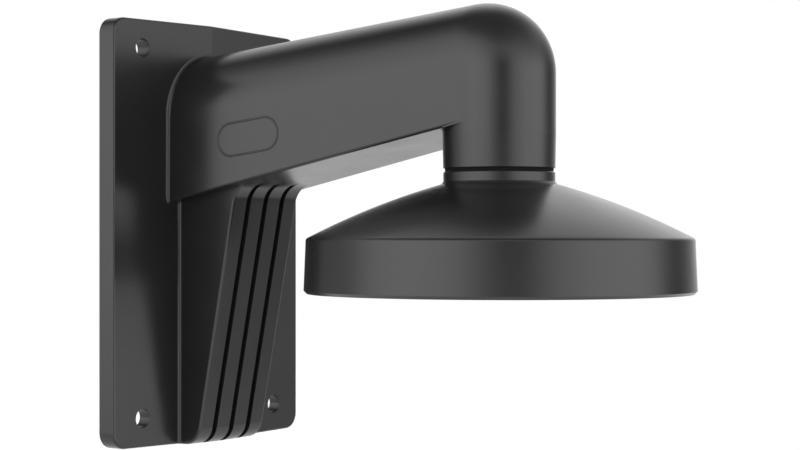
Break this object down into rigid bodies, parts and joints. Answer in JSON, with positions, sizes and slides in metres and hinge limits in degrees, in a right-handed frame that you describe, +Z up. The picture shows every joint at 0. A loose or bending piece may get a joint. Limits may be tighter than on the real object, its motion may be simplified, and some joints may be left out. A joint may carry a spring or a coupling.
{
  "type": "camera wall bracket",
  "caption": "Wall plate with a hollow arm and a grooved foot; a round cap for a dome camera hangs under the arm's spout.",
  "frame": {"origin": "middle of the wall plate's back, in the plane of the wall", "axes": "+X along the plate's width, +Y into the wall (the arm reaches out along -Y), +Z up"},
  "size_m": [0.1546, 0.2398, 0.1846],
  "materials": {
    "powder_coat": "satin black powder coat with a fine orange peel, on die-cast aluminium",
    "seal_rubber": "matt black rubber",
    "screw_steel": "bright steel"
  },
  "bodies": {
    "root": {"bracket_casting": "powder_coat", "pendant_cap": "powder_coat", "neck_seal": "seal_rubber", "cap_screws": "screw_steel"}
  },
  "joints": []
}
